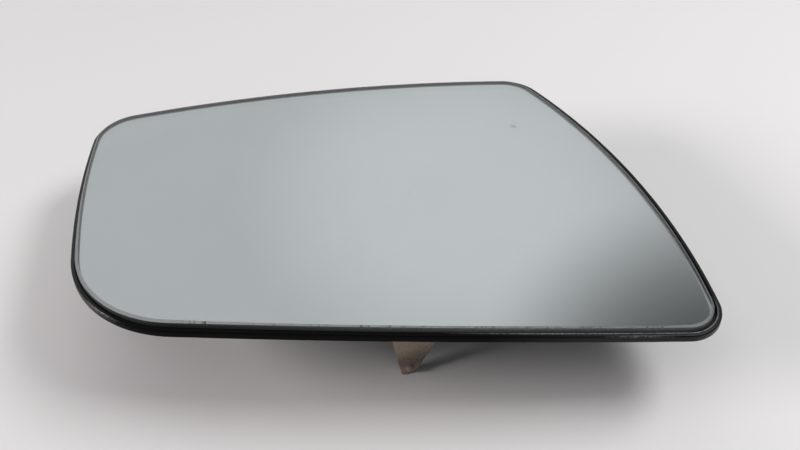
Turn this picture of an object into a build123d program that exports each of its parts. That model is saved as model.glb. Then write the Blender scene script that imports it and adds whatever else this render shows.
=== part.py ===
from build123d import *
import os
from math import hypot, radians, sqrt, tan

# Left-hand car door mirror glass on its carrier, with the clip ring that snaps on the mirror actuator.
# Millimetres. The origin is on the actuator axis, at the mouth of the clip ring's collar.
# +Z points out of the glass face, +Y to the mirror's top edge and +X towards the car.

# Outline of the carrier: four bowed sides that meet in four sharp corners, which are then rounded
outer_bottom_x = -77.9
outer_bottom_y = -47.0
inner_bottom_x = 94.6
inner_bottom_y = -48.5
inner_top_x = 49.5
inner_top_y = 70.1
outer_top_x = -91.6
outer_top_y = 47.5
bottom_bow = 4.1
inner_bow = 9.0
top_bow = 3.2
outer_bow = 3.6
outer_bottom_round = 36.0
inner_bottom_round = 11.3
inner_top_round = 12.4
outer_top_round = 14.7

# Glass: a convex face with a narrow ground bevel round its edge
glass_curve_radius = 1260.0
glass_thickness = 2.0
bevel_width = 0.45
bevel_drop = 0.28

# Adhesive film between the glass and the carrier
film_thickness = 0.4
film_margin = 3.0

# Carrier: a plate as curved as the glass, with a lip round it
plate_thickness = 1.3
lip_width = 1.35
lip_height = 1.1
lip_chamfer = 0.5
edge_chamfer = 0.5
groove_width = 0.65

# Ribs on the back of the carrier
rib_width = 1.2
rib_height = 2.0
rib_inset = 5.0
rib_arc_radius = 68.0
spoke_count = 12
hub_rib_radius = 18.0
hub_rib_height = 1.4
hub_spoke_count = 6

# Land on the back of the carrier that the clip ring is staked to
land_height = 2.2
land_margin = 1.0
land_step = 2.0

# Clip ring: collar, flange with ears, and snap fingers
socket_radius = 37.0
socket_depth = 9.0
collar_wall = 2.8
flange_width = 3.2
flange_thickness = 2.0
flange_root_chamfer = 0.8
ear_radius = 5.0
ear_circle_radius = 45.0
ear_blend = 3.0
finger_count = 4
finger_turn = 14.3
finger_length = 17.7
finger_tip_width = 3.6
finger_tip_round = 1.0
finger_steep_angle = 10.0
finger_slant_angle = 31.0
finger_root_round = 2.5
finger_relief = 0.5
bead_radius = 1.45
bead_height = 0.85
bead_above_tip = 2.5

# Heat stakes: posts of the carrier that pass through the ears and end in a formed head
stake_radius = 2.0
stake_clearance = 0.1
stake_head_radius = 3.3
stake_head_height = 1.4

# Levels on the actuator axis
land_z = socket_depth
plate_back_z = land_z + land_height
plate_face_z = plate_back_z + plate_thickness
lip_top_z = plate_face_z + lip_height
glass_back_z = plate_face_z + film_thickness
crown_z = glass_back_z + glass_thickness
flange_back_z = land_z - flange_thickness

# Radii and places that follow from the sizes above
collar_radius = socket_radius + collar_wall
flange_radius = collar_radius + flange_width
glass_inset = lip_width + groove_width
first_finger_angle = finger_turn - 90.0
finger_pitch = 360.0 / finger_count
first_ear_angle = first_finger_angle + finger_pitch / 2
corners = [
    (outer_bottom_x, outer_bottom_y),
    (inner_bottom_x, inner_bottom_y),
    (inner_top_x, inner_top_y),
    (outer_top_x, outer_top_y),
]
bows = [bottom_bow, inner_bow, top_bow, outer_bow]
rounds = [outer_bottom_round, inner_bottom_round, inner_top_round, outer_top_round]
reach = max(hypot(x, y) for x, y in corners)
edge_drop = glass_curve_radius - sqrt(glass_curve_radius**2 - reach**2)


def side_disc(start, end, bow, inset):
    """Disc whose edge is one bowed side of the outline, moved in by an inset."""
    chord = Vector(*end) - Vector(*start)
    radius = (chord.length**2 / 4 + bow**2) / (2 * bow)
    inward = chord.normalized().rotate(Axis.Z, 90)
    centre = Vector(*start) + chord / 2 + inward * (radius - bow)
    return Pos(centre) * Circle(radius - inset)


def outline(inset=0.0):
    """Edge of the carrier seen from the front, moved in by an inset."""
    ends = corners[1:] + corners[:1]
    discs = [side_disc(start, end, bow, inset) for start, end, bow in zip(corners, ends, bows)]
    area = discs[0] & discs[1] & discs[2] & discs[3]
    for corner, radius in zip(corners, rounds):
        sharp = area.vertices().sort_by_distance((*corner, 0.0))[0]
        area = fillet(sharp, radius - inset)
    return area


def dome(z):
    """Ball with the same centre as the glass face, which passes through z on the axis."""
    radius = glass_curve_radius - crown_z + z
    return Pos(0, 0, crown_z - glass_curve_radius) * Sphere(radius, rotation=(90, 90, 0))


def column(area):
    """Upright block of an area, tall enough for every layer."""
    bottom = plate_back_z - edge_drop - 2.0 * rib_height
    return extrude(Pos(0, 0, bottom) * area, crown_z + glass_thickness - bottom)


def layer(area, low_z, high_z):
    """Curved sheet of an area between two levels on the axis."""
    return (column(area) & dome(high_z)) - dome(low_z)


def ring_places(radius, first_angle):
    """Places on a circle round the axis, one for each finger."""
    return [
        Rot(0, 0, first_angle + i * finger_pitch) * Pos(radius, 0, 0)
        for i in range(finger_count)
    ]


def ear_places():
    """Centres of the clip ring's ears, midway between its fingers."""
    return ring_places(ear_circle_radius, first_ear_angle)


def flange_outline(margin=0.0):
    """Flange of the clip ring with its ears run into it, without holes, and with a margin round it."""
    half_root = ear_radius + ear_blend
    root = Line((collar_radius, -half_root), (collar_radius, half_root))
    tip = Pos(ear_circle_radius, 0) * Circle(ear_radius + margin)
    ear = make_hull([root, *tip.edges()])
    ears = [place * ear for place in ring_places(0.0, first_ear_angle)]
    return Circle(flange_radius + margin) + ears


def make_glass():
    """Convex glass with its front edge ground to a bevel."""
    glass = layer(outline(glass_inset), glass_back_z, crown_z)
    face = glass.faces().sort_by(Axis.Z)[-1]
    return chamfer(face.edges(), bevel_width, bevel_drop, reference=face)


def make_film():
    """Adhesive film behind the glass."""
    return layer(outline(glass_inset + film_margin), plate_face_z, glass_back_z)


def make_plate():
    """Curved plate with a lip round the glass, its outer edges broken above and below."""
    blank = layer(outline(), plate_back_z, lip_top_z)
    pocket = column(outline(lip_width)) - dome(plate_face_z)
    plate = blank - pocket
    balls = plate.faces().filter_by(GeomType.SPHERE).sort_by(lambda face: face.radius)
    plate = chamfer(balls[-1].outer_wire().edges(), lip_chamfer)
    balls = plate.faces().filter_by(GeomType.SPHERE).sort_by(lambda face: face.radius)
    return chamfer(balls[0].outer_wire().edges(), edge_chamfer)


def spoke(angle, start, end):
    """One straight rib that runs out from the axis."""
    return Rot(0, 0, angle) * Pos((start + end) / 2, 0) * Rectangle(end - start, rib_width)


def circle_rib(radius):
    """Round rib about the axis."""
    return Circle(radius + rib_width / 2) - Circle(radius - rib_width / 2)


def make_ribs():
    """Rib frame behind the glass edge with spokes and two arcs, and a hub rib in the socket."""
    frame = outline(rib_inset)
    border = frame - outline(rib_inset + rib_width)
    turn = 360.0 / spoke_count
    spokes = [
        spoke(first_finger_angle + i * turn, flange_radius, reach) for i in range(spoke_count)
    ]
    field = (circle_rib(rib_arc_radius) + spokes) & frame
    land_inner = socket_radius - land_step
    hub_turn = 360.0 / hub_spoke_count
    hub_spokes = [
        spoke(first_finger_angle + i * hub_turn, hub_rib_radius, land_inner + rib_width)
        for i in range(hub_spoke_count)
    ]
    hub = circle_rib(hub_rib_radius) + hub_spokes
    root_z = plate_back_z + plate_thickness / 2
    outer_ribs = layer(border + field, plate_back_z - rib_height, root_z)
    return outer_ribs + layer(hub, plate_back_z - hub_rib_height, root_z)


def make_land():
    """Flat land for the clip ring, raised from the curved plate."""
    area = flange_outline(land_margin) - Circle(socket_radius - land_step)
    block = extrude(Pos(0, 0, land_z) * area, land_height + plate_thickness)
    return block & dome(plate_back_z + plate_thickness / 2)


def make_stake():
    """Post with a formed head, drawn on the axis."""
    cap_radius = (stake_head_radius**2 + stake_head_height**2) / (2 * stake_head_height)
    ball = Pos(0, 0, flange_back_z + cap_radius - stake_head_height) * Sphere(cap_radius)
    head = split(ball, Plane.XY.offset(flange_back_z), keep=Keep.BOTTOM)
    post = Pos(0, 0, flange_back_z) * extrude(Circle(stake_radius), flange_thickness + land_height)
    return head + post


def make_carrier():
    """Carrier: plate, ribs, land and stakes, moulded in one piece."""
    stake = make_stake()
    stakes = [place * stake for place in ear_places()]
    return make_plate() + make_ribs() + make_land() + stakes


def flank(angle, rise):
    """Distance of a finger's flank from the middle of its tip, at a rise above the tip."""
    return finger_tip_width / 2 + rise * tan(radians(angle))


def finger_profile():
    """Finger seen from outside: one steep flank, one slanted flank, rounded tip and roots."""
    half_tip = finger_tip_width / 2
    steep = flank(finger_steep_angle, finger_length)
    slant = flank(finger_slant_angle, finger_length)
    blade = make_face(
        Polyline(
            (-steep, 0), (-half_tip, -finger_length), (half_tip, -finger_length), (slant, 0), close=True
        )
    )
    tip = blade.vertices().group_by(Axis.Y)[0]
    blade = fillet(tip, finger_tip_round)
    band_width = 2 * (slant + 2 * finger_root_round)
    band = Pos(0, flange_back_z / 2) * Rectangle(band_width, flange_back_z)
    profile = blade + band
    roots = [profile.vertices().sort_by_distance((x, 0, 0))[0] for x in (-steep, slant)]
    return fillet(roots, finger_root_round)


def make_finger():
    """Snap finger with its bead where it crosses the X axis, set back from the socket's wall."""
    plane = Plane(origin=(0, 0, 0), x_dir=(0, 1, 0), z_dir=(1, 0, 0))
    tube_area = Circle(collar_radius) - Circle(socket_radius + finger_relief)
    tube = extrude(Pos(0, 0, -finger_length) * tube_area, finger_length + flange_back_z)
    blade = extrude(plane * finger_profile(), collar_radius + collar_wall) & tube
    bead_x = collar_radius + bead_height - bead_radius
    bead_y = (flank(finger_slant_angle, bead_above_tip) - flank(finger_steep_angle, bead_above_tip)) / 2
    bead = Pos(bead_x, bead_y, bead_above_tip - finger_length) * Sphere(bead_radius)
    return blade + bead


def make_clip_ring():
    """Collar with a staked flange on top and snap fingers below."""
    collar = extrude(Circle(collar_radius), socket_depth)
    flange = extrude(Pos(0, 0, flange_back_z) * flange_outline(), flange_thickness)
    body = collar + flange
    under_flange = body.edges().filter_by_position(Axis.Z, flange_back_z, flange_back_z)
    collar_root = under_flange.sort_by(SortBy.LENGTH)[-1]
    body = chamfer(collar_root, flange_root_chamfer)
    body -= extrude(Circle(socket_radius), socket_depth)
    hole = Pos(0, 0, flange_back_z) * extrude(Circle(stake_radius + stake_clearance), flange_thickness)
    body -= [place * hole for place in ear_places()]
    finger = make_finger()
    return body + [place * finger for place in ring_places(0.0, first_finger_angle)]


def main():
    nodes = {
        "mirror_glass": make_glass(),
        "adhesive_film": make_film(),
        "carrier_plate": make_carrier(),
        "clip_ring": make_clip_ring(),
    }
    os.makedirs("parts", exist_ok=True)
    for name, solid in nodes.items():
        solid.label = name
        export_step(solid, f"parts/{name}.step")


main()
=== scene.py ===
import math
import random

import bmesh
import bpy
from bpy.props import FloatProperty, FloatVectorProperty, IntProperty, PointerProperty
from bpy.types import Operator, Panel, PropertyGroup
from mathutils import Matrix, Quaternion, Vector
from mathutils.geometry import intersect_sphere_sphere_2d


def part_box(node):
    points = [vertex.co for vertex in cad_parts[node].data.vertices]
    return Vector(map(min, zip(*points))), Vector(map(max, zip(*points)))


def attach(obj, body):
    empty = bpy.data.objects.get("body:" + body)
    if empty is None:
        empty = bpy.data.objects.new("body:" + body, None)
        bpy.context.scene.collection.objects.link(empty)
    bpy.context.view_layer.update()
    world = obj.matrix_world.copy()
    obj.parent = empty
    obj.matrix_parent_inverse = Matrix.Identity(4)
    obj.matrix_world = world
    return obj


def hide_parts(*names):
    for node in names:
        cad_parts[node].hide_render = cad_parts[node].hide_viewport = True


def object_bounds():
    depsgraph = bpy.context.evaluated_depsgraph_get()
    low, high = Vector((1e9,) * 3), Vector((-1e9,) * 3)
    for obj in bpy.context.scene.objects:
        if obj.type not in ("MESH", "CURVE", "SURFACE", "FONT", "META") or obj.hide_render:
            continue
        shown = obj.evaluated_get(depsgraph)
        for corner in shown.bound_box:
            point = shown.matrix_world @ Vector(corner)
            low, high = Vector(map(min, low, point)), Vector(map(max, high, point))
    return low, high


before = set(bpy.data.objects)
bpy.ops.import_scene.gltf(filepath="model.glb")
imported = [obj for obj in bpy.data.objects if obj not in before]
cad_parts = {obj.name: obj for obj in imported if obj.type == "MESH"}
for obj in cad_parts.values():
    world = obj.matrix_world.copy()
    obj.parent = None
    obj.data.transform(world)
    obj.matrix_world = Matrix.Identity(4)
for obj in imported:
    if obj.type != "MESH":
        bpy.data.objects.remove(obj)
cad_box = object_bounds()

bl_info = {
    "name": "Car door mirror glass",
    "version": (1, 0, 0),
    "blender": (4, 5, 0),
    "location": "View3D > Sidebar > Door Mirror",
    "description": "Dresses a car door mirror glass with its pane, carrier, clip ring and stage",
    "category": "Object",
}


# Sizes and colours

class OutlineSizes(PropertyGroup):
    """Edge of the carrier seen from the front: four bowed sides with rounded corners."""

    outer_bottom: FloatVectorProperty(
        name="Outer bottom", description="Sharp corner between the outer and bottom sides",
        size=2, default=(-0.0779, -0.0470), unit="LENGTH")
    inner_bottom: FloatVectorProperty(
        name="Inner bottom", description="Sharp corner between the bottom and inner sides",
        size=2, default=(0.0946, -0.0485), unit="LENGTH")
    inner_top: FloatVectorProperty(
        name="Inner top", description="Sharp corner between the inner and top sides",
        size=2, default=(0.0495, 0.0701), unit="LENGTH")
    outer_top: FloatVectorProperty(
        name="Outer top", description="Sharp corner between the top and outer sides",
        size=2, default=(-0.0916, 0.0475), unit="LENGTH")
    bows: FloatVectorProperty(
        name="Bows", description="How far the bottom, inner, top and outer sides bow out",
        size=4, default=(0.0041, 0.0090, 0.0032, 0.0036), unit="LENGTH")
    rounds: FloatVectorProperty(
        name="Rounds", description="Radii of the outer bottom, inner bottom, inner top and outer top corners",
        size=4, default=(0.0360, 0.0113, 0.0124, 0.0147), unit="LENGTH")
    front_step: FloatProperty(
        name="Front step", description="Spacing of the points along the bottom side",
        default=0.00025, unit="LENGTH")
    side_step: FloatProperty(
        name="Side step", description="Spacing of the points along the other sides and corners",
        default=0.0009, unit="LENGTH")


class GlassSizes(PropertyGroup):
    """Convex pane with a ground bevel round its face."""

    curve_radius: FloatProperty(
        name="Curve radius", description="Radius of the convex face", default=1.26, unit="LENGTH")
    thickness: FloatProperty(
        name="Thickness", description="Thickness of the pane", default=0.0020, unit="LENGTH")
    bevel_width: FloatProperty(
        name="Bevel width", description="Width of the ground bevel", default=0.00045, unit="LENGTH")
    bevel_drop: FloatProperty(
        name="Bevel drop", description="How far the bevel falls to the edge", default=0.00028, unit="LENGTH")
    bevel_extra: FloatVectorProperty(
        name="Bevel extra", description="Added width of the bevel round the outer and inner bottom corners",
        size=2, default=(0.00050, 0.00035), unit="LENGTH")
    coating: FloatProperty(
        name="Coating", description="Thickness of the mirror coating and its paint behind the glass",
        default=0.00006, unit="LENGTH")
    shift: FloatProperty(
        name="Shift", description="How far the pane sits off the middle of its groove",
        default=-0.000475, unit="LENGTH")
    stretch: FloatProperty(
        name="Stretch", description="Scale that makes the pane fill its groove on the far side",
        default=1.00135)
    chip_count: IntProperty(
        name="Chips", description="Small chips along the bottom edge", default=110, min=0)
    chip_depth: FloatProperty(
        name="Chip depth", description="Deepest chip of the bottom edge", default=0.00019, unit="LENGTH")
    face_rings: IntProperty(
        name="Face rings", description="Rings of faces between the bevel and the crown", default=22, min=2)
    clear: FloatVectorProperty(
        name="Clear", description="Tint of the clear glass",
        size=3, default=(0.97, 0.99, 0.985), subtype="COLOR")
    silver: FloatVectorProperty(
        name="Silver", description="Tint of the mirror coating",
        size=3, default=(0.537, 0.566, 0.580), subtype="COLOR")
    bevel: FloatVectorProperty(
        name="Bevel", description="Colour of the ground bevel",
        size=3, default=(0.34, 0.355, 0.36), subtype="COLOR")
    # The far side's paler edge colour is painted light; the edge material also darkens the bottom edge
    # towards the far end with painted shade
    edge_dark: FloatVectorProperty(
        name="Dark edge", description="Colour of the ground edge along the bottom",
        size=3, default=(0.20, 0.22, 0.215), subtype="COLOR")
    edge_inner: FloatVectorProperty(
        name="Inner edge", description="Colour of the ground edge on the car's side",
        size=3, default=(0.20, 0.215, 0.215), subtype="COLOR")
    far_edge_painted_light: FloatVectorProperty(
        name="Outer edge", description="Colour of the ground edge on the far side",
        size=3, default=(0.34, 0.35, 0.35), subtype="COLOR")


class CarrierSizes(PropertyGroup):
    """Moulded carrier, with a lip round the glass, and the film that holds the glass on it."""

    lip_width: FloatProperty(
        name="Lip width", description="Width of the lip round the glass", default=0.00135, unit="LENGTH")
    lip_height: FloatProperty(
        name="Lip height", description="Height of the lip above the plate", default=0.0011, unit="LENGTH")
    lip_round: FloatProperty(
        name="Lip round", description="Radius of the lip's outer top edge", default=0.00050, unit="LENGTH")
    ridge_round: FloatProperty(
        name="Ridge round", description="Radius of the lip's inner top edge", default=0.00018, unit="LENGTH")
    edge_round: FloatProperty(
        name="Edge round", description="Radius of the lower outer edge", default=0.00050, unit="LENGTH")
    groove_width: FloatProperty(
        name="Groove width", description="Gap between the lip and the glass", default=0.00065, unit="LENGTH")
    plate_thickness: FloatProperty(
        name="Plate thickness", description="Thickness of the plate", default=0.0013, unit="LENGTH")
    plate_rings: IntProperty(
        name="Plate rings", description="Rings of faces between the lip and the axis", default=12, min=2)
    film_thickness: FloatProperty(
        name="Film thickness", description="Thickness of the adhesive film", default=0.0004, unit="LENGTH")
    black: FloatVectorProperty(
        name="Black", description="Colour of the moulded plastic",
        size=3, default=(0.0032, 0.0032, 0.0037), subtype="COLOR")
    # Colour of the painted glints on the lip and of the painted highlight on its ridge, both standing for
    # reflected lamp light
    painted_glint: FloatVectorProperty(
        name="Painted glint", description="Colour of the scuffed top edge of the lip",
        size=3, default=(0.30, 0.31, 0.32), subtype="COLOR")
    adhesive: FloatVectorProperty(
        name="Adhesive", description="Colour of the adhesive film",
        size=3, default=(0.62, 0.61, 0.57), subtype="COLOR")


class RingSizes(PropertyGroup):
    """Nylon clip ring with its snap fingers."""

    edge_round: FloatProperty(
        name="Edge round", description="Radius of the fingers' edges", default=0.00028, unit="LENGTH")
    nylon: FloatVectorProperty(
        name="Nylon", description="Colour of the natural nylon",
        size=3, default=(0.40, 0.318, 0.238), subtype="COLOR")
    # Nylon shade is both the random darker streaks and the painted shade over the beads and tips; Nylon tip
    # is the darker painted shade of the band above the beads
    nylon_streaks_and_tip_shade: FloatVectorProperty(
        name="Nylon shade", description="Colour of the darker streaks and of the beads",
        size=3, default=(0.31, 0.242, 0.18), subtype="COLOR")
    nylon_painted_shade: FloatVectorProperty(
        name="Nylon tip", description="Colour of the nylon towards the fingers' tips",
        size=3, default=(0.18, 0.138, 0.108), subtype="COLOR")


class StageSizes(PropertyGroup):
    """Floor, soft room, lamps and camera."""

    floor_size: FloatProperty(
        name="Floor size", description="Length of the floor's sides", default=8.0, unit="LENGTH")
    floor: FloatVectorProperty(
        name="Floor", description="Colour of the floor",
        size=3, default=(0.80, 0.790, 0.793), subtype="COLOR")
    room: FloatProperty(
        name="Room", description="Brightness of the soft room where the glass looks", default=0.741)
    glow: FloatProperty(
        name="Glow", description="Added brightness of the soft glow behind the mirror", default=0.188)
    dim: FloatProperty(
        name="Dim", description="Share of the room's brightness outside the glass's view", default=0.115)
    sky: FloatProperty(
        name="Sky", description="Brightness of the small cool patch behind the camera", default=0.9)
    right_power: FloatProperty(
        name="Right power", description="Power of the long lamp at the right", default=3.43, unit="POWER")
    left_power: FloatProperty(
        name="Left power", description="Power of the wide lamp at the left", default=16.4, unit="POWER")
    front_power: FloatProperty(
        name="Front power", description="Power of the weak lamp on the camera's side",
        default=1.3, unit="POWER")
    camera_place: FloatVectorProperty(
        name="Camera", description="Place of the camera",
        size=3, default=(0.00752, -0.2256, 0.2011), subtype="TRANSLATION", unit="LENGTH")
    camera_pitch: FloatProperty(
        name="Camera pitch", description="How far the camera looks down",
        default=math.radians(41.0), subtype="ANGLE", unit="ROTATION")
    camera_lens: FloatProperty(
        name="Lens", description="Focal length of the camera in millimetres", default=45.0)


def settings(name):
    """Property group of one part of the mirror."""
    return getattr(bpy.context.scene, "door_mirror_" + name)


# Shapes

# Heights closer than this are one level
LEVEL_GAP = 1e-6
# Points closer than this are one point, where a band meets itself or the next band
SEAM_GAP = 2e-5
# Points closer than this are one point of a CAD node's loose triangles
CAD_GAP = 1e-7


def levels():
    """Heights on the axis: crown and back of the glass, face and back of the plate, and top of the lip."""
    glass, carrier = settings("glass"), settings("carrier")
    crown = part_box("mirror_glass")[1].z
    glass_back = crown - glass.thickness
    plate_face = glass_back - carrier.film_thickness
    return {
        "crown": crown,
        "glass_back": glass_back,
        "plate_face": plate_face,
        "plate_back": plate_face - carrier.plate_thickness,
        "lip_top": plate_face + carrier.lip_height,
    }


def drop(point, crown):
    """How far the curved layer through a point lies below its height on the axis."""
    radius = settings("glass").curve_radius - crown + point.z
    return radius - math.sqrt(radius**2 - point.x**2 - point.y**2)


def curve_layers(verts):
    """Bends flat layers on the ball that the glass face is part of."""
    crown = levels()["crown"]
    for vert in verts:
        vert.co.z -= drop(vert.co, crown)


def outline_corners():
    """Sharp corners of the outline, in order round it."""
    sizes = settings("outline")
    return [Vector(c) for c in (sizes.outer_bottom, sizes.inner_bottom, sizes.inner_top, sizes.outer_top)]


def outline_circles():
    """Centres and radii of the outline's bowed sides, and centres of its rounded corners."""
    sizes, corners = settings("outline"), outline_corners()
    centres, radii = [], []
    for i, bow in enumerate(sizes.bows):
        chord = corners[(i + 1) % 4] - corners[i]
        radius = (chord.length_squared / 4 + bow**2) / (2 * bow)
        centres.append(corners[i] + chord / 2 + chord.orthogonal().normalized() * (radius - bow))
        radii.append(radius)
    hubs = []
    for i, rounding in enumerate(sizes.rounds):
        found = intersect_sphere_sphere_2d(
            centres[i - 1], radii[i - 1] - rounding, centres[i], radii[i] - rounding)
        hubs.append(min((Vector(p) for p in found), key=lambda p: (p - corners[i]).length))
    return centres, radii, hubs


def outline_arcs():
    """Centre, radius, first angle, turn and point spacing of each arc of the outline, in order round it."""
    sizes = settings("outline")
    centres, radii, hubs = outline_circles()
    arcs = []
    for i in range(4):
        following = (i + 1) % 4
        start = math.atan2(*(hubs[i] - centres[i]).yx)
        end = math.atan2(*(hubs[following] - centres[i]).yx)
        after = math.atan2(*(hubs[following] - centres[following]).yx)
        side_turn = (end - start) % math.tau
        corner_turn = (after - end) % math.tau
        step = sizes.front_step if i == 0 else sizes.side_step
        arcs.append((centres[i], radii[i], start, side_turn, step))
        arcs.append((hubs[following], sizes.rounds[following], end, corner_turn, sizes.side_step))
    return arcs


def band_mesh(profile):
    """Band that a profile of insets and heights leaves as it runs once round the outline."""
    band = bmesh.new()
    arcs = outline_arcs()
    centre, radius, start, _, _ = arcs[0]
    outward = Vector((math.cos(start), math.sin(start)))
    points = [band.verts.new((*(centre + (radius - inset) * outward), height)) for inset, height in profile]
    last = points + [band.edges.new(pair) for pair in zip(points, points[1:])]
    for centre, radius, _, turn, step in arcs:
        swept = bmesh.ops.spin(
            band, geom=last, cent=(*centre, 0.0), axis=(0, 0, 1), angle=turn,
            steps=max(2, round(radius * turn / step)))
        last = swept["geom_last"]
    bmesh.ops.remove_doubles(band, verts=band.verts, dist=SEAM_GAP)
    mesh = bpy.data.meshes.new("band")
    band.to_mesh(mesh)
    band.free()
    return mesh


def add_band(bm, profile, material):
    """Adds a band round the outline and returns the edges of its first and last rings."""
    old_edges, old_faces = set(bm.edges), set(bm.faces)
    mesh = band_mesh(profile)
    bm.from_mesh(mesh)
    bpy.data.meshes.remove(mesh)
    for face in bm.faces:
        if face not in old_faces:
            face.material_index = material
    ends = [edge for edge in bm.edges if edge not in old_edges and edge.is_boundary]
    return [at_height(ends, height) for _, height in (profile[0], profile[-1])]


def at_height(edges, height):
    """Edges that lie at a height."""
    return [edge for edge in edges if all(abs(vert.co.z - height) < LEVEL_GAP for vert in edge.verts)]


def fill_ring(bm, ring, count, material):
    """Fills a ring with smaller and smaller copies of it that end in a point on the axis."""
    for left in range(count, 0, -1):
        drawn = bmesh.ops.extrude_edge_only(bm, edges=ring)["geom"]
        verts = [item for item in drawn if isinstance(item, bmesh.types.BMVert)]
        fresh = set(verts)
        ring = [
            item for item in drawn
            if isinstance(item, bmesh.types.BMEdge) and fresh.issuperset(item.verts)
        ]
        for item in drawn:
            if isinstance(item, bmesh.types.BMFace):
                item.material_index = material
        share = (left - 1) / left
        bmesh.ops.scale(bm, vec=(share, share, 1.0), verts=verts)
    bmesh.ops.pointmerge(bm, verts=verts, merge_co=verts[0].co)


def round_points(centre, radius, first, last, count):
    """Inset and height of points on a rounded edge, from one angle to another."""
    angles = [first + (last - first) * i / (count - 1) for i in range(count)]
    return [(centre[0] + radius * math.cos(a), centre[1] + radius * math.sin(a)) for a in angles]


def merged_copy(node):
    """Copy of a CAD node's mesh with its loose triangles joined."""
    bm = bmesh.new()
    bm.from_mesh(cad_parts[node].data)
    bmesh.ops.remove_doubles(bm, verts=bm.verts, dist=CAD_GAP)
    for face in bm.faces:
        face.material_index = 0
    return bm


def smooth_by_angle(bm, degrees):
    """Smooth faces, with the edges past an angle kept sharp."""
    limit = math.radians(degrees)
    for face in bm.faces:
        face.smooth = True
    for edge in bm.edges:
        edge.smooth = edge.calc_face_angle(0.0) < limit


def add_piece(bm, name, node, materials):
    """Turns a finished mesh into the piece that stands for a CAD node."""
    mesh = bpy.data.meshes.new(name)
    bm.to_mesh(mesh)
    bm.free()
    for material in materials:
        mesh.materials.append(material)
    piece = bpy.data.objects.new(name, mesh)
    bpy.context.scene.collection.objects.link(piece)
    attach(piece, "root")
    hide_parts(node)
    return piece


# Materials

GLASS_INDEX = 1.52
# Whole range of a share, and the ranges that most values of a noise and of the fine haze lie in
WHOLE = (0.0, 1.0)
MOST = (0.3, 0.7)
HAZE_RANGE = (0.35, 0.65)
# Scale, detail and roughness of the noises
HAZE = (35.0, 3.0)
FROST = (1400.0, 4.0, 0.6)
MOULD_CLOUD = (60.0, 4.0)
MOULD_GRAIN = (2600.0, 2.0)
GLINT_GRAIN = (1900.0, 3.0)
RIDGE_GRAIN = (2600.0, 3.0, 0.6)
NYLON_FLOW = (140.0, 3.0, 0.5)
NYLON_GRAIN = (1800.0, 2.0)
FILM_FIBRE = (500.0, 4.0)
FLOOR_CLOUD = (5.0, 2.0)
# Strength and depth of the fine bumps
FROST_BUMP = (0.35, 0.00008)
MOULD_BUMP = (0.30, 0.00006)
NYLON_BUMP = (0.12, 0.00005)
# Cells of the dust on the pane per metre, the rim of a speck in its cell, and which cells hold one
SPECK_CELLS = 75.0
SPECK_RIM = (0.012, 0.028)
SPECK_CHOICE = (0.72, 0.74)
SPECK_STRENGTH = 0.15
# Place on the pane, radius and strength of the larger spots of dust
DUST_SPOTS = (
    (0.0446, 0.0412, 0.0016, 0.15),
    (0.0100, 0.0033, 0.0007, 0.08),
    (-0.0635, -0.0095, 0.0005, 0.08),
    (-0.0416, -0.0196, 0.0005, 0.10),
)
# Strengths of dust over which the glass takes on the dust's colour
DUST_SHADE = (0.0, 0.5)
# Places along X or Y between which the pane's bevel grows clearer, the edge goes from the car side's colour
# to a paler far side colour that is painted light, the bottom edge darkens towards the far end with painted
# shade, and the bottom edge's colours take over from the sides'
BEVEL_CLEARS = (0.0, 0.05)
PAINTED_EDGE_LIGHT = (0.04, -0.06)
PAINTED_EDGE_SHADE = (0.03, -0.05)
EDGE_BOTTOM = (-0.026, -0.036)
# Places along X between which the carrier's plastic gets its polish at the far end and on the car's side
FAR_POLISH = (-0.066, -0.085)
CAR_POLISH = (0.03, 0.06)
# Place, radius and strength of the painted glints on the lip: pale grainy spots that stand for reflections of
# the lamps
PAINTED_GLINTS = (
    (-0.0710, -0.0405, 0.0075, 0.60),
    (0.0700, -0.0490, 0.0110, 0.40),
)
# Values of the grain between which a painted glint on the lip and the painted highlight on its ridge show
GLINT_SHOWS = (0.42, 0.62)
RIDGE_LIGHT_SHOWS = (0.40, 0.62)
# Places along each axis between which the ridge of the lip goes from plain black to its painted highlight
RIDGE_LIGHT_SPANS = (("X", (0.018, 0.045)), ("Y", (-0.034, -0.042)))
# Heights between which the nylon goes to the painted shade of a dark band on a finger's lower half, and to a
# lighter painted shade over its bead and tip
FINGER_SHADE_SPAN = (-0.0075, -0.0115)
BEAD_SHADE_SPAN = (-0.0138, -0.0150)


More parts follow.
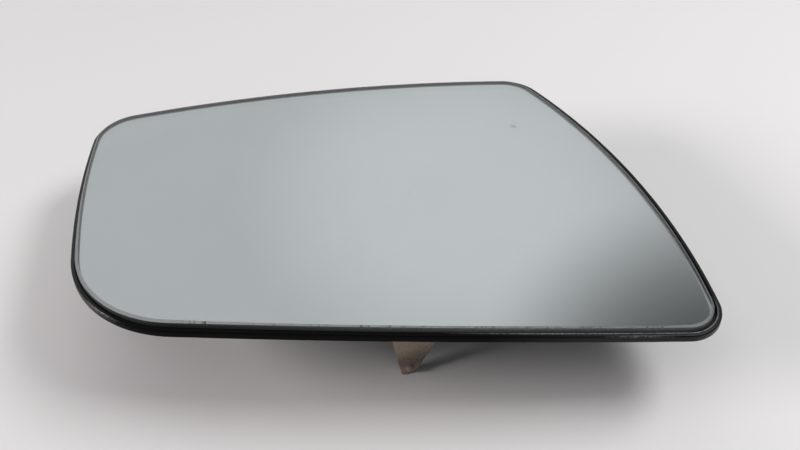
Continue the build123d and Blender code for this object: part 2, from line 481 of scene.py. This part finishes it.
class Shader:
    """One procedural material, with short ways to add and join its nodes."""

    def __init__(self, name):
        self.material = bpy.data.materials.new(name)
        self.material.use_nodes = True
        self.tree = self.material.node_tree
        self.surface = self.tree.nodes["Principled BSDF"]
        self.place = self.add("ShaderNodeTexCoord").outputs["Object"]

    def add(self, kind, **values):
        node = self.tree.nodes.new(kind)
        for name, value in values.items():
            setattr(node, name, value)
        return node

    def join(self, output, socket):
        self.tree.links.new(output, socket)

    def give(self, **values):
        """Sets plain values of the surface."""
        for name, value in values.items():
            self.surface.inputs[name.replace("_", " ")].default_value = value

    def feed(self, name, output):
        """Joins an output to an input of the surface."""
        self.join(output, self.surface.inputs[name])

    def noise(self, scale, detail, roughness=0.5, stretch=None):
        node = self.add("ShaderNodeTexNoise")
        node.inputs["Scale"].default_value = scale
        node.inputs["Detail"].default_value = detail
        node.inputs["Roughness"].default_value = roughness
        source = self.place
        if stretch:
            mapping = self.add("ShaderNodeMapping")
            mapping.inputs["Scale"].default_value = stretch
            self.join(source, mapping.inputs["Vector"])
            source = mapping.outputs["Vector"]
        self.join(source, node.inputs["Vector"])
        return node.outputs["Fac"]

    def axis(self, name):
        node = self.add("ShaderNodeSeparateXYZ")
        self.join(self.place, node.inputs["Vector"])
        return node.outputs[name]

    def distance(self, spot):
        node = self.add("ShaderNodeVectorMath", operation="DISTANCE")
        self.join(self.place, node.inputs[0])
        node.inputs[1].default_value = spot
        return node.outputs["Value"]

    def spread(self, value, span, to_low=0.0, to_high=1.0):
        """Maps a span of values to another one, and holds its ends."""
        node = self.add("ShaderNodeMapRange")
        numbers = {"From Min": span[0], "From Max": span[1], "To Min": to_low, "To Max": to_high}
        for name, number in numbers.items():
            node.inputs[name].default_value = number
        self.join(value, node.inputs["Value"])
        return node.outputs["Result"]

    def fade(self, spot, core, radius, strength):
        """Strength in the middle of a spot, falling to nothing at its radius."""
        return self.spread(self.distance(spot), (core * radius, radius), strength, 0.0)

    def combine(self, operation, first, second):
        node = self.add("ShaderNodeMath", operation=operation)
        self.join(first, node.inputs[0])
        self.join(second, node.inputs[1])
        return node.outputs["Value"]

    def blend(self, share, first, second):
        node = self.add("ShaderNodeMix", data_type="RGBA")
        self.join(share, node.inputs["Factor"])
        for socket, colour in ((node.inputs[6], first), (node.inputs[7], second)):
            if isinstance(colour, bpy.types.NodeSocket):
                self.join(colour, socket)
            else:
                socket.default_value = (*colour, 1.0)
        return node.outputs[2]

    def mottle(self, share, colour, dark, light):
        """One colour between a darker and a lighter tint."""
        return self.blend(share, tint(colour, dark), tint(colour, light))

    def bump(self, height, strength, distance):
        node = self.add("ShaderNodeBump")
        node.inputs["Strength"].default_value = strength
        node.inputs["Distance"].default_value = distance
        self.join(height, node.inputs["Height"])
        self.feed("Normal", node.outputs["Normal"])

    def colour(self, output):
        self.feed("Base Color", output)

    def roughness(self, grain, low, high, span=MOST):
        self.feed("Roughness", self.spread(grain, span, low, high))


def tint(colour, factor):
    """Colour made lighter or darker."""
    return tuple(min(1.0, channel * factor) for channel in colour)


def clear_material():
    """Clear face of the pane, with a few specks and spots of dust."""
    glass = settings("glass")
    crown = levels()["crown"]
    shader = Shader("clear_glass")
    shader.give(IOR=GLASS_INDEX)
    cells = shader.add("ShaderNodeTexVoronoi")
    cells.inputs["Scale"].default_value = SPECK_CELLS
    shader.join(shader.place, cells.inputs["Vector"])
    split = shader.add("ShaderNodeSeparateColor")
    shader.join(cells.outputs["Color"], split.inputs["Color"])
    near = shader.spread(cells.outputs["Distance"], SPECK_RIM, 1.0, 0.0)
    chosen = shader.spread(split.outputs["Red"], SPECK_CHOICE, 0.0, SPECK_STRENGTH)
    dust = shader.combine("MULTIPLY", near, chosen)
    for x, y, radius, strength in DUST_SPOTS:
        spot = Vector((x, y, crown))
        spot.z -= drop(spot, crown)
        dust = shader.combine("MAXIMUM", dust, shader.fade(spot, 0.2, radius, strength))
    shader.colour(shader.blend(shader.spread(dust, DUST_SHADE), glass.clear, tint(glass.bevel, 0.5)))
    shader.feed("Transmission Weight", shader.spread(dust, WHOLE, 1.0, 0.0))
    shader.roughness(shader.noise(*HAZE), 0.0, 0.02, HAZE_RANGE)
    return shader.material


def silver_material():
    """Mirror coating behind the clear glass."""
    shader = Shader("silver_coating")
    shader.give(Metallic=1.0)
    haze = shader.spread(shader.noise(*HAZE), HAZE_RANGE)
    shader.colour(shader.mottle(haze, settings("glass").silver, 0.99, 1.01))
    shader.roughness(haze, 0.03, 0.045, WHOLE)
    return shader.material


def bevel_material():
    """Frosted bevel of the pane, clearer on the car's side."""
    shader = Shader("ground_bevel")
    shader.give(IOR=GLASS_INDEX)
    shader.feed("Transmission Weight", shader.spread(shader.axis("X"), BEVEL_CLEARS, 0.5, 0.8))
    frost = shader.noise(*FROST)
    shader.colour(shader.mottle(frost, settings("glass").bevel, 0.85, 1.15))
    shader.roughness(frost, 0.6, 0.75)
    shader.bump(frost, *FROST_BUMP)
    return shader.material


def edge_material():
    """Frosted edge of the pane: greyer on the car's side, paler on the far side with painted light, and in
    its own colour along the bottom, darkened towards the far end with painted shade.
    """
    glass = settings("glass")
    shader = Shader("ground_edge")
    along = shader.axis("X")
    # Painted light makes the far side paler, and painted shade darkens the bottom edge towards the far end
    sides = shader.blend(shader.spread(along, PAINTED_EDGE_LIGHT), glass.edge_inner, glass.far_edge_painted_light)
    low = shader.blend(shader.spread(along, PAINTED_EDGE_SHADE), glass.edge_dark, tint(glass.edge_dark, 0.16))
    tone = shader.blend(shader.spread(shader.axis("Y"), EDGE_BOTTOM), sides, low)
    frost = shader.noise(*FROST)
    pits = shader.spread(frost, MOST, 0.0, 0.3)
    shader.colour(shader.blend(pits, tone, tint(glass.edge_dark, 0.33)))
    shader.roughness(frost, 0.45, 0.6)
    shader.bump(frost, *FROST_BUMP)
    return shader.material


def black_material(name, glint_spots=()):
    """Moulded black plastic with a fine grain, more polished towards both ends, with painted glints: pale
    grainy spots that stand for reflections of the lamps.
    """
    carrier = settings("carrier")
    lip_top = levels()["lip_top"]
    shader = Shader(name)
    along = shader.axis("X")
    far = shader.spread(along, FAR_POLISH, 0.035, 0.42)
    near = shader.spread(along, CAR_POLISH, 0.0, 0.16)
    shader.feed("Specular IOR Level", shader.combine("ADD", far, near))
    colour = shader.mottle(shader.noise(*MOULD_CLOUD), carrier.black, 0.8, 1.25)
    # Painted glints: pale grainy spots that stand for reflections of the lamps on the lip
    for x, y, radius, strength in glint_spots:
        spot = shader.fade((x, y, lip_top), 0.3, radius, strength)
        broken = shader.spread(shader.noise(*GLINT_GRAIN), GLINT_SHOWS, 0.15, 1.0)
        colour = shader.blend(shader.combine("MULTIPLY", spot, broken), colour, carrier.painted_glint)
    shader.colour(colour)
    grain = shader.noise(*MOULD_GRAIN)
    shader.roughness(grain, 0.28, 0.42)
    shader.bump(grain, *MOULD_BUMP)
    return shader.material


def ridge_material():
    """Top edge of the lip, with a pale grainy painted highlight along the bottom side towards the car."""
    carrier = settings("carrier")
    shader = Shader("scuffed_ridge")
    shader.give(Specular_IOR_Level=0.06)
    grain = shader.noise(*RIDGE_GRAIN)
    # Painted highlight: the ridge's lit edge, as pale grain along the bottom side towards the car
    highlight_share = shader.spread(grain, RIDGE_LIGHT_SHOWS, 0.30, 1.0)
    for axis, span in RIDGE_LIGHT_SPANS:
        highlight_share = shader.combine("MULTIPLY", highlight_share, shader.spread(shader.axis(axis), span))
    shader.colour(shader.blend(highlight_share, carrier.black, carrier.painted_glint))
    shader.roughness(grain, 0.4, 0.55)
    shader.bump(grain, *MOULD_BUMP)
    return shader.material


def nylon_material():
    """Natural nylon, glossy and slightly clear, with random darker streaks, and darker towards the fingers'
    tips by painted shade: a dark band above the beads, lighter over the beads and tips.
    """
    ring = settings("ring")
    shader = Shader("natural_nylon")
    shader.give(Subsurface_Weight=0.25, Subsurface_Radius=(0.9, 0.55, 0.35), Subsurface_Scale=0.0035)
    flow = shader.noise(*NYLON_FLOW, stretch=(1.0, 1.0, 0.35))
    height = shader.axis("Z")
    plain = shader.blend(flow, ring.nylon_streaks_and_tip_shade, ring.nylon)
    # Painted shade: a dark band on the fingers' lower half, lighter again over the beads and tips
    low = shader.blend(shader.spread(height, BEAD_SHADE_SPAN), ring.nylon_painted_shade, ring.nylon_streaks_and_tip_shade)
    shader.colour(shader.blend(shader.spread(height, FINGER_SHADE_SPAN), plain, low))
    grain = shader.noise(*NYLON_GRAIN)
    shader.roughness(grain, 0.24, 0.34)
    shader.bump(grain, *NYLON_BUMP)
    return shader.material


def adhesive_material():
    """Pale adhesive film."""
    shader = Shader("adhesive_film")
    fibre = shader.noise(*FILM_FIBRE)
    shader.colour(shader.mottle(fibre, settings("carrier").adhesive, 0.9, 1.08))
    shader.roughness(fibre, 0.6, 0.75)
    return shader.material


def floor_material():
    """Pale matt floor."""
    shader = Shader("pale_floor")
    cloud = shader.noise(*FLOOR_CLOUD)
    shader.colour(shader.mottle(cloud, settings("stage").floor, 0.99, 1.01))
    shader.roughness(cloud, 0.85, 0.9)
    return shader.material


# Pieces

# Order of the materials on the pane and on the carrier
CLEAR, BEVEL, EDGE, SILVER = range(4)
PLASTIC, RIDGE, LIP = range(3)
# Edges past these angles stay sharp, in degrees
PANE_SHARP = 12.0
MOULDED_SHARP = 32.0
# Chips: seed, stretch along X, where the bottom edge starts along Y, half widths and shares of the depth
CHIP_SEED = 11
CHIP_STRETCH = (-0.078, 0.090)
CHIP_START = -0.035
CHIP_HALVES = (0.0002, 0.00035)
CHIP_SHARES = (0.2, 1.0)
# Fall of a chip for each step inwards, and how many chip depths below the bevel the edge is whole again
CHIP_FALL = 0.8
CHIP_ROOM = 3
# Points on the rounded edges of the lip, and where its lower edge ends, in quarter turns
RIDGE_POINTS = 5
SHOULDER_POINTS = 8
LOWER_POINTS = 6
LOWER_END = 2.9
# Share of the plate's thickness, from its back, that is kept from the CAD solid
KEPT_BACK = 0.1
# Clip ring: angles of flat and sharp edges in degrees, height below which edges are softened, and steps
FLAT_ANGLE = 0.5
SHARP_ANGLE = 50.0
FINGER_ROOT = -1e-4
SOFT_STEPS = 3


def chip_edge(verts):
    """Breaks small chips out of the bottom edge of the pane."""
    glass = settings("glass")
    chance = random.Random(CHIP_SEED)
    bottom = [vert for vert in verts if vert.co.y < CHIP_START]
    for _ in range(glass.chip_count):
        middle = chance.uniform(*CHIP_STRETCH)
        half = chance.uniform(*CHIP_HALVES)
        depth = glass.chip_depth * chance.uniform(*CHIP_SHARES)
        for vert in bottom:
            near = 1.0 - abs(vert.co.x - middle) / half
            if near > 0.0:
                bite = depth * min(1.0, 2.0 * near)
                vert.co.y += bite
                vert.co.z -= bite * CHIP_FALL


def widen_bevel(verts):
    """Grinds the bevel wider round the two bottom corners of the pane."""
    _, _, hubs = outline_circles()
    for corner, hub, extra in zip(outline_corners(), hubs, settings("glass").bevel_extra):
        middle = (corner - hub).normalized()
        for vert in verts:
            outward = (vert.co.xy - hub).normalized()
            vert.co.xy -= outward * extra * max(0.0, outward.dot(middle))


class DOORMIRROR_OT_glass(Operator):
    """Makes the convex pane with its bevel, ground edge and chips"""

    bl_idname = "door_mirror.make_glass"
    bl_label = "Mirror Glass"

    def execute(self, context):
        glass, carrier = settings("glass"), settings("carrier")
        height = levels()
        crown = height["crown"]
        brink = crown - glass.bevel_drop
        inset = carrier.lip_width + carrier.groove_width
        profile = [
            (inset + glass.bevel_width, crown),
            (inset, brink),
            (inset, brink - CHIP_ROOM * glass.chip_depth),
            (inset, height["glass_back"] + glass.coating),
        ]
        bm = bmesh.new()
        face, foot = add_band(bm, profile, EDGE)
        for front in bm.faces:
            if max(vert.co.z for vert in front.verts) > crown - LEVEL_GAP:
                front.material_index = BEVEL
        chip_edge([vert for vert in bm.verts if abs(vert.co.z - brink) < LEVEL_GAP])
        widen_bevel([vert for vert in bm.verts if abs(vert.co.z - crown) < LEVEL_GAP])
        fill_ring(bm, face, glass.face_rings, CLEAR)
        fill_ring(bm, foot, glass.face_rings, SILVER)
        curve_layers(bm.verts)
        bmesh.ops.scale(bm, vec=(glass.stretch, 1.0, 1.0), verts=bm.verts)
        bmesh.ops.translate(bm, vec=(glass.shift, 0.0, 0.0), verts=bm.verts)
        bmesh.ops.recalc_face_normals(bm, faces=bm.faces)
        smooth_by_angle(bm, PANE_SHARP)
        materials = [clear_material(), bevel_material(), edge_material(), silver_material()]
        add_piece(bm, "mirror_pane", "mirror_glass", materials)
        return {"FINISHED"}


class DOORMIRROR_OT_adhesive(Operator):
    """Gives the adhesive film its finish"""

    bl_idname = "door_mirror.dress_adhesive"
    bl_label = "Adhesive Film"

    def execute(self, context):
        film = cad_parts["adhesive_film"]
        film.data.materials.clear()
        film.data.materials.append(adhesive_material())
        return {"FINISHED"}


class DOORMIRROR_OT_carrier(Operator):
    """Makes the carrier: the back of the CAD solid with a finely rounded lip and plate in front"""

    bl_idname = "door_mirror.make_carrier"
    bl_label = "Carrier"

    def execute(self, context):
        carrier = settings("carrier")
        height = levels()
        plate_face, plate_back, lip_top = height["plate_face"], height["plate_back"], height["lip_top"]
        bm = merged_copy("carrier_plate")
        front = []
        for face in bm.faces:
            middle = face.calc_center_median()
            if middle.z + drop(middle, height["crown"]) > plate_back + carrier.plate_thickness * KEPT_BACK:
                front.append(face)
        bmesh.ops.delete(bm, geom=front, context="FACES")
        rim = [edge for edge in bm.edges if edge.is_boundary]
        if not rim:
            raise RuntimeError("the carrier's back has no open rim to build the lip on")
        old = set(bm.verts)
        quarter = math.pi / 2
        ridge = round_points(
            (carrier.lip_width - carrier.ridge_round, lip_top - carrier.ridge_round),
            carrier.ridge_round, 0.0, quarter, RIDGE_POINTS)
        shoulder = round_points(
            (carrier.lip_round, lip_top - carrier.lip_round),
            carrier.lip_round, quarter, 2 * quarter, SHOULDER_POINTS)
        lower = round_points(
            (carrier.edge_round, plate_back + carrier.edge_round),
            carrier.edge_round, 2 * quarter, LOWER_END * quarter, LOWER_POINTS)
        ridge.append((ridge[-1][0] - carrier.ridge_round, lip_top))
        add_band(bm, [(carrier.lip_width, plate_face), ridge[0]], PLASTIC)
        add_band(bm, ridge, RIDGE)
        add_band(bm, [ridge[-1], *shoulder[:2]], PLASTIC)
        add_band(bm, shoulder[1:], LIP)
        add_band(bm, [shoulder[-1], *lower], PLASTIC)
        bmesh.ops.remove_doubles(bm, verts=[vert for vert in bm.verts if vert not in old], dist=SEAM_GAP)
        ends = [edge for edge in bm.edges if edge.is_boundary]
        plate, lower_ring = at_height(ends, plate_face), at_height(ends, lower[-1][1])
        fill_ring(bm, plate, carrier.plate_rings, PLASTIC)
        curve_layers([vert for vert in bm.verts if vert not in old])
        bmesh.ops.triangle_fill(bm, use_beauty=True, edges=lower_ring + rim, normal=(0.0, 0.0, -1.0))
        bmesh.ops.recalc_face_normals(bm, faces=bm.faces)
        smooth_by_angle(bm, MOULDED_SHARP)
        lip = black_material("rubbed_lip", PAINTED_GLINTS)
        materials = [black_material("black_plastic"), ridge_material(), lip]
        add_piece(bm, "carrier", "carrier_plate", materials)
        return {"FINISHED"}


class DOORMIRROR_OT_clip_ring(Operator):
    """Makes the clip ring from its CAD solid, with softened finger edges"""

    bl_idname = "door_mirror.make_clip_ring"
    bl_label = "Clip Ring"

    def execute(self, context):
        ring = settings("ring")
        bm = merged_copy("clip_ring")
        bmesh.ops.dissolve_limit(
            bm, angle_limit=math.radians(FLAT_ANGLE), verts=bm.verts, edges=bm.edges)
        sharp = [
            edge for edge in bm.edges
            if edge.calc_face_angle(0.0) > math.radians(SHARP_ANGLE)
            and max(vert.co.z for vert in edge.verts) < FINGER_ROOT
        ]
        bmesh.ops.bevel(
            bm, geom=sharp, offset=ring.edge_round, offset_type="OFFSET", segments=SOFT_STEPS,
            profile=0.5, affect="EDGES", clamp_overlap=True, material=-1)
        smooth_by_angle(bm, MOULDED_SHARP)
        add_piece(bm, "snap_ring", "clip_ring", [nylon_material()])
        return {"FINISHED"}


# Stage

# Azimuth from +Y to +X, elevation, radius and even core of the room's soft patches, in degrees
GLOW_PATCH = (6.1, 38.9, 17.3, 0.0)
SHADE_PATCH = (46.0, 49.6, 23.4, 0.0)
VIEW_PATCH = (0.0, 45.0, 48.0, 37.0)
SKY_PATCH = (160.0, 42.0, 10.0, 2.0)
# Share of the light that is left in the middle of the shaded patch
SHADE_LEFT = 0.12
WHITE = (1.0, 1.0, 1.0)
WARM = (1.0, 0.945, 0.95)
COOL = (0.50, 0.85, 1.0)
# Azimuth and elevation in degrees, distance in metres, half angles of the sides, roll and colour of each lamp
LAMPS = {
    "right": ((80.7, 52.4), 0.8, (17.0, 8.9), 21.0, WHITE),
    "left": ((-102.5, 23.8), 1.57, (12.0, 7.0), 0.0, WARM),
    "front": ((-134.6, 59.5), 1.5, (11.0, 11.0), 0.0, WARM),
}
# Width of the camera's sensor in millimetres, and the nearest distance that it sees, in metres
SENSOR_WIDTH = 36.0
NEAREST = 0.01


def direction(azimuth, elevation):
    """Unit vector towards a part of the room: azimuth from +Y to +X, in degrees."""
    a, e = math.radians(azimuth), math.radians(elevation)
    return (math.sin(a) * math.cos(e), math.cos(a) * math.cos(e), math.sin(e))


def make_floor():
    """Flat floor under the mirror's lowest point."""
    bm = bmesh.new()
    bmesh.ops.create_grid(bm, x_segments=1, y_segments=1, size=settings("stage").floor_size / 2)
    bmesh.ops.translate(bm, vec=(0.0, 0.0, cad_box[0].z), verts=bm.verts)
    mesh = bpy.data.meshes.new("floor")
    bm.to_mesh(mesh)
    bm.free()
    mesh.materials.append(floor_material())
    floor = bpy.data.objects.new("floor", mesh)
    bpy.context.scene.collection.objects.link(floor)


def make_room():
    """Soft room: even light where the glass looks, with a glow and a shaded patch, and dim elsewhere."""
    stage = settings("stage")
    world = bpy.data.worlds.new("soft_room")
    world.use_nodes = True
    tree = world.node_tree
    look = tree.nodes.new("ShaderNodeTexCoord").outputs["Generated"]

    def patch(place, around, inside):
        azimuth, elevation, radius, core = place
        dot = tree.nodes.new("ShaderNodeVectorMath")
        dot.operation = "DOT_PRODUCT"
        tree.links.new(look, dot.inputs[0])
        dot.inputs[1].default_value = direction(azimuth, elevation)
        ramp = tree.nodes.new("ShaderNodeMapRange")
        ramp.interpolation_type = "SMOOTHSTEP"
        tree.links.new(dot.outputs["Value"], ramp.inputs["Value"])
        ramp.inputs["From Min"].default_value = math.cos(math.radians(radius))
        ramp.inputs["From Max"].default_value = math.cos(math.radians(core))
        ramp.inputs["To Min"].default_value = around
        ramp.inputs["To Max"].default_value = inside
        return ramp.outputs["Result"]

    def multiply(first, second):
        node = tree.nodes.new("ShaderNodeMath")
        node.operation = "MULTIPLY"
        tree.links.new(first, node.inputs[0])
        tree.links.new(second, node.inputs[1])
        return node.outputs["Value"]

    level = patch(GLOW_PATCH, stage.room, stage.room + stage.glow)
    level = multiply(level, patch(SHADE_PATCH, 1.0, SHADE_LEFT))
    level = multiply(level, patch(VIEW_PATCH, stage.dim, 1.0))
    room = tree.nodes["Background"]
    sky = tree.nodes.new("ShaderNodeBackground")
    both = tree.nodes.new("ShaderNodeAddShader")
    for i, (light, colour, strength) in enumerate((
            (room, WHITE, level),
            (sky, COOL, patch(SKY_PATCH, 0.0, stage.sky)))):
        light.inputs["Color"].default_value = (*colour, 1.0)
        tree.links.new(strength, light.inputs["Strength"])
        tree.links.new(light.outputs["Background"], both.inputs[i])
    tree.links.new(both.outputs["Shader"], tree.nodes["World Output"].inputs["Surface"])
    bpy.context.scene.world = world


def add_lamp(name, power, place, distance, halves, roll, colour):
    """Soft lamp turned to the origin, with its sides as half angles seen from there."""
    light = bpy.data.lights.new(name, "AREA")
    light.energy = power
    light.color = colour
    light.shape = "RECTANGLE"
    light.size, light.size_y = (2 * distance * math.tan(math.radians(angle)) for angle in halves)
    lamp = bpy.data.objects.new(name, light)
    lamp.location = distance * Vector(direction(*place))
    turn = (-lamp.location).to_track_quat("-Z", "Y") @ Quaternion((0.0, 0.0, 1.0), math.radians(-roll))
    lamp.rotation_euler = turn.to_euler()
    bpy.context.scene.collection.objects.link(lamp)


def add_camera():
    """Camera in front of the mirror that looks down on it."""
    stage = settings("stage")
    camera = bpy.data.objects.new("camera", bpy.data.cameras.new("camera"))
    camera.data.lens = stage.camera_lens
    camera.data.sensor_width = SENSOR_WIDTH
    camera.data.clip_start = NEAREST
    camera.location = stage.camera_place
    camera.rotation_euler = (math.pi / 2 - stage.camera_pitch, 0.0, 0.0)
    bpy.context.scene.collection.objects.link(camera)
    bpy.context.scene.camera = camera


class DOORMIRROR_OT_stage(Operator):
    """Makes the floor, the soft room, the lamps and the camera"""

    bl_idname = "door_mirror.make_stage"
    bl_label = "Stage"

    def execute(self, context):
        make_floor()
        make_room()
        for side, values in LAMPS.items():
            add_lamp(side + "_lamp", getattr(settings("stage"), side + "_power"), *values)
        add_camera()
        context.scene.view_settings.view_transform = "Standard"
        return {"FINISHED"}


class DOORMIRROR_PT_panel(Panel):
    """Door mirror glass"""

    bl_idname = "DOORMIRROR_PT_panel"
    bl_label = "Door Mirror"
    bl_space_type = "VIEW_3D"
    bl_region_type = "UI"
    bl_category = "Door Mirror"

    def draw(self, context):
        for operator in OPERATORS:
            self.layout.operator(operator.bl_idname)
        for name, group in GROUPS.items():
            box = self.layout.box()
            box.label(text=name.title())
            for key in group.__annotations__:
                box.prop(settings(name), key)


GROUPS = {
    "outline": OutlineSizes,
    "glass": GlassSizes,
    "carrier": CarrierSizes,
    "ring": RingSizes,
    "stage": StageSizes,
}
OPERATORS = (
    DOORMIRROR_OT_glass,
    DOORMIRROR_OT_adhesive,
    DOORMIRROR_OT_carrier,
    DOORMIRROR_OT_clip_ring,
    DOORMIRROR_OT_stage,
)


def register():
    for group in GROUPS.values():
        bpy.utils.register_class(group)
    for name, group in GROUPS.items():
        setattr(bpy.types.Scene, "door_mirror_" + name, PointerProperty(type=group))
    for operator in OPERATORS:
        bpy.utils.register_class(operator)
    bpy.utils.register_class(DOORMIRROR_PT_panel)


def unregister():
    bpy.utils.unregister_class(DOORMIRROR_PT_panel)
    for operator in reversed(OPERATORS):
        bpy.utils.unregister_class(operator)
    for name in GROUPS:
        delattr(bpy.types.Scene, "door_mirror_" + name)
    for group in reversed(list(GROUPS.values())):
        bpy.utils.unregister_class(group)


def main():
    register()
    bpy.ops.door_mirror.make_glass()
    bpy.ops.door_mirror.dress_adhesive()
    bpy.ops.door_mirror.make_carrier()
    bpy.ops.door_mirror.make_clip_ring()
    bpy.ops.door_mirror.make_stage()


if __name__ == "__main__":
    main()
